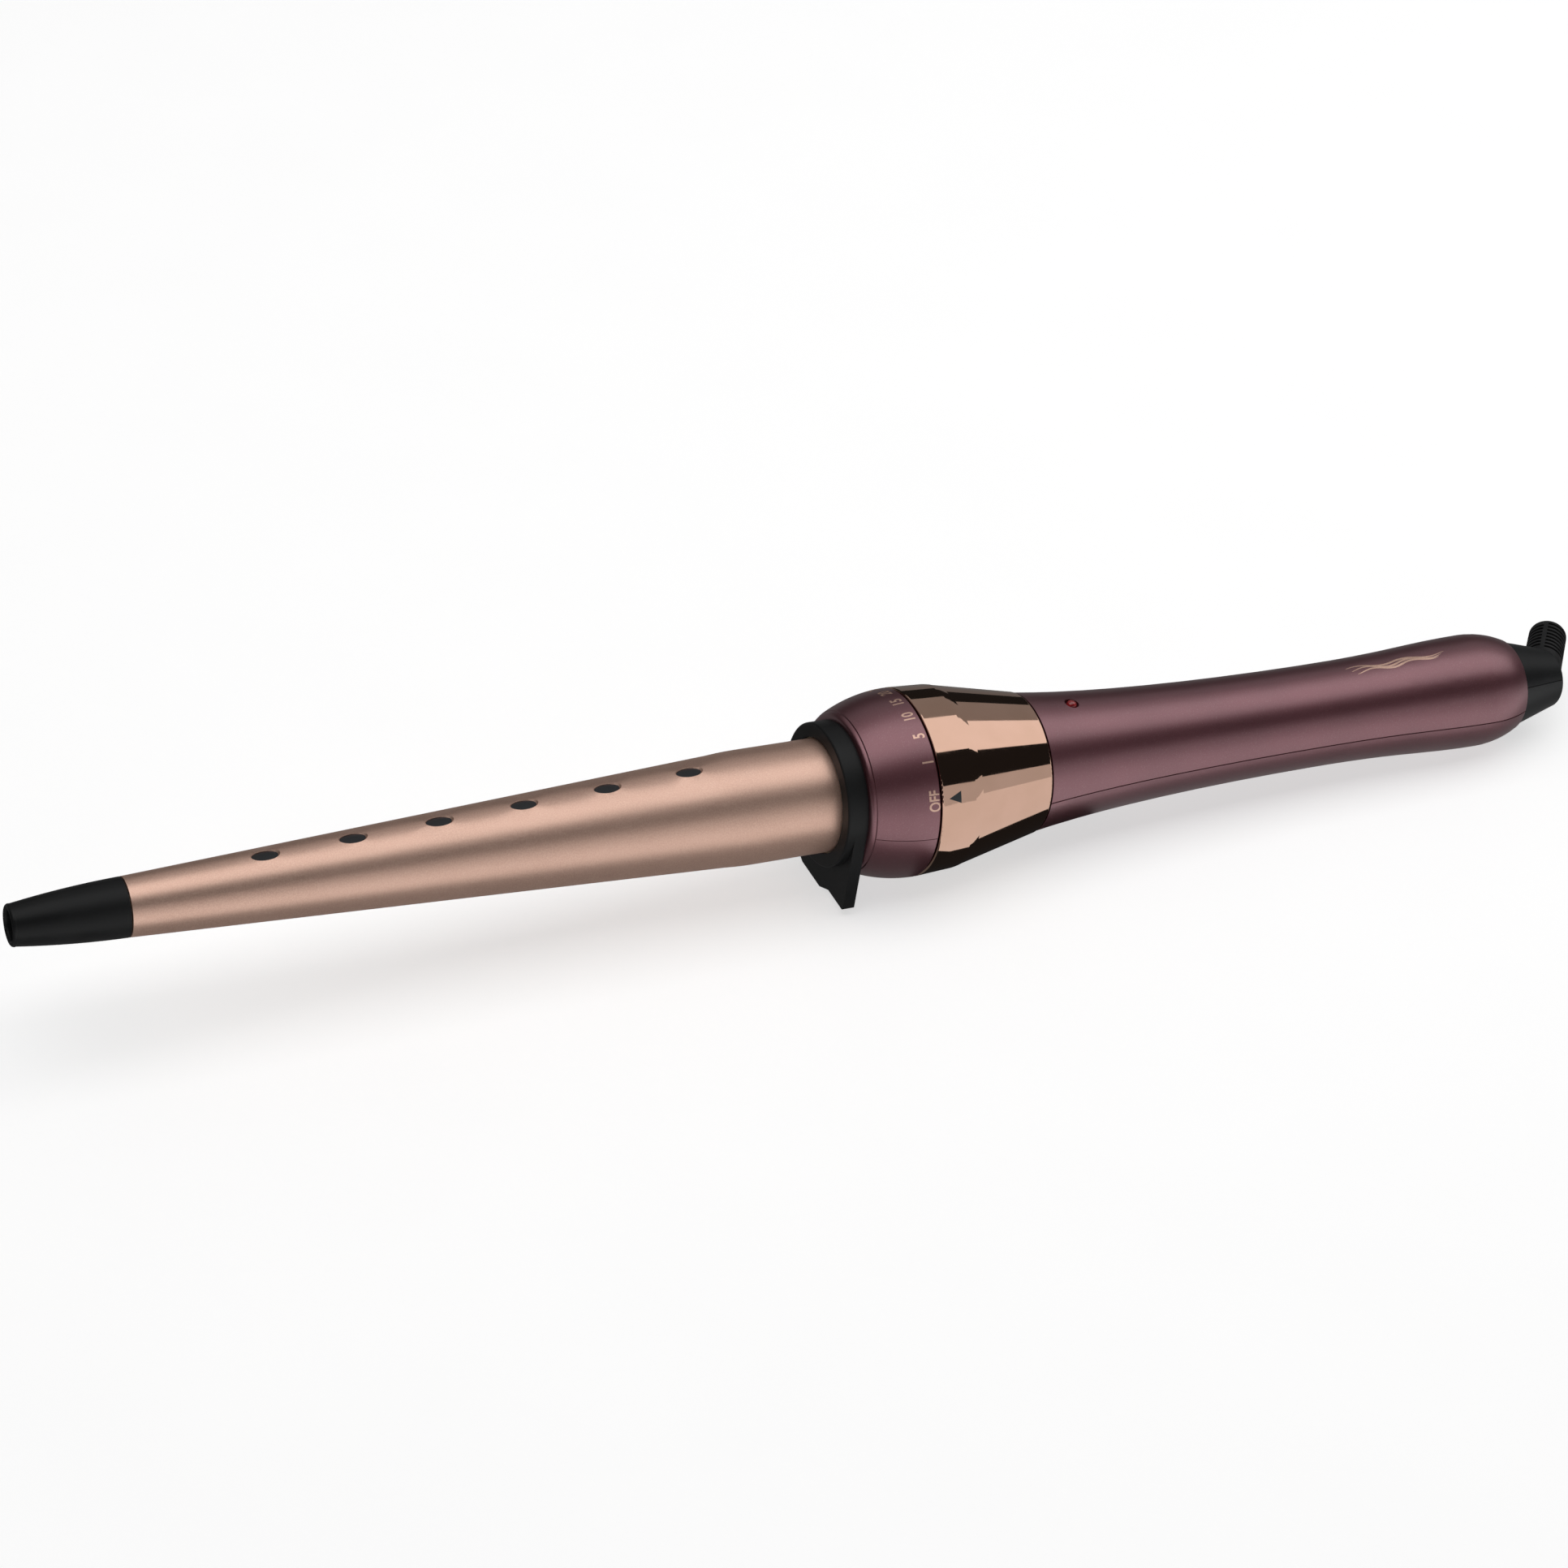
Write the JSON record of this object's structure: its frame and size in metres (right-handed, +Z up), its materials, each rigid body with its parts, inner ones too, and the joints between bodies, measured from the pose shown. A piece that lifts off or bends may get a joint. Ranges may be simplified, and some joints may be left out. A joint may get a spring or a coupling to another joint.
{
  "type": "curling wand",
  "caption": "Conical curling wand with a heat-safe tip, plate stand, ring heat dial, waisted handle and a swivel cord outlet with a ribbed tilting boot.",
  "frame": {"origin": "centre of the stand foot's resting face, on the table", "axes": "+X along the wand from the tip to the cord, +Z up from the table; the wand lies on its foot and on the swell at the handle's end, so its own axis slopes down by about 3 degrees towards the cord"},
  "size_m": [0.3815, 0.0417, 0.0418],
  "materials": {
    "soft_touch_burgundy": "soft-touch paint with fine metallic speckle",
    "rose_gold_barrel": "satin metallic coat",
    "rose_gold_plate": "mirror-bright plating on moulded plastic",
    "black_heatproof": "satin moulding",
    "black_swivel": "satin moulding",
    "insert_black": "satin",
    "pointer_ink": "printed",
    "red_lens": "clear red, polished",
    "boot_rubber": "matte",
    "steel": "zinc plated",
    "plain_aluminium": "extruded",
    "heater_ceramic": "fired",
    "insulator_fibre": "woven mica and glass fibre",
    "contact_brass": "bright",
    "circuit_board": "solder mask",
    "component_black": "moulded",
    "capacitor_case": "moulded",
    "lead_insulation": "silicone sleeving"
  },
  "bodies": {
    "wand": {"cool_tip": "black_heatproof", "tip_insulator": "insulator_fibre", "barrel_end_plug": "plain_aluminium", "tip_screw": "steel", "barrel_tube": "rose_gold_barrel", "barrel_dots": "insert_black", "heat_spreader_upper": "plain_aluminium", "heat_spreader_lower": "plain_aluminium", "heater_plate": "heater_ceramic", "heater_leads": "lead_insulation", "thermal_fuse": "component_black", "thermistor": "lead_insulation", "barrel_sleeve": "insulator_fibre", "barrel_clamp": "steel", "clamp_screws": "steel", "stand_collar": "black_heatproof", "nose_ring": "soft_touch_burgundy", "track_board": "circuit_board", "detent_spring": "steel", "upper_housing": "soft_touch_burgundy", "lower_housing": "soft_touch_burgundy", "housing_screws": "steel", "indicator_lens": "red_lens", "control_board": "circuit_board", "indicator_led": "red_lens", "triac": "component_black", "capacitor": "capacitor_case", "control_chip": "component_black", "fuse_resistor": "capacitor_case", "board_leads": "lead_insulation", "brush_contacts": "contact_brass"},
    "dial": {"heat_dial": "rose_gold_plate", "dial_pointer": "pointer_ink", "dial_wiper": "contact_brass"},
    "swivel": {"swivel_collar_upper": "black_swivel", "swivel_collar_lower": "black_swivel", "slip_ring_carrier": "black_swivel", "slip_rings": "contact_brass"},
    "boot": {"cord_boot": "boot_rubber"}
  },
  "joints": [
    {"name": "heat_dial_turn", "type": "hinge", "parent": "wand", "child": "dial", "pos_m": [0.0326, 0, 0.02017], "axis": [-0.9986, 0, 0.0525], "range_deg": [0, 114]},
    {"name": "cord_swivel", "type": "hinge", "parent": "wand", "child": "swivel", "pos_m": [0.17241, 0, 0.01282], "axis": [0.9986, 0, -0.0525], "continuous": true},
    {"name": "boot_tilt", "type": "hinge", "parent": "swivel", "child": "boot", "pos_m": [0.18719, 0, 0.01205], "axis": [0.0524, -0.0523, 0.9973], "range_deg": [-51, 3]}
  ]
}
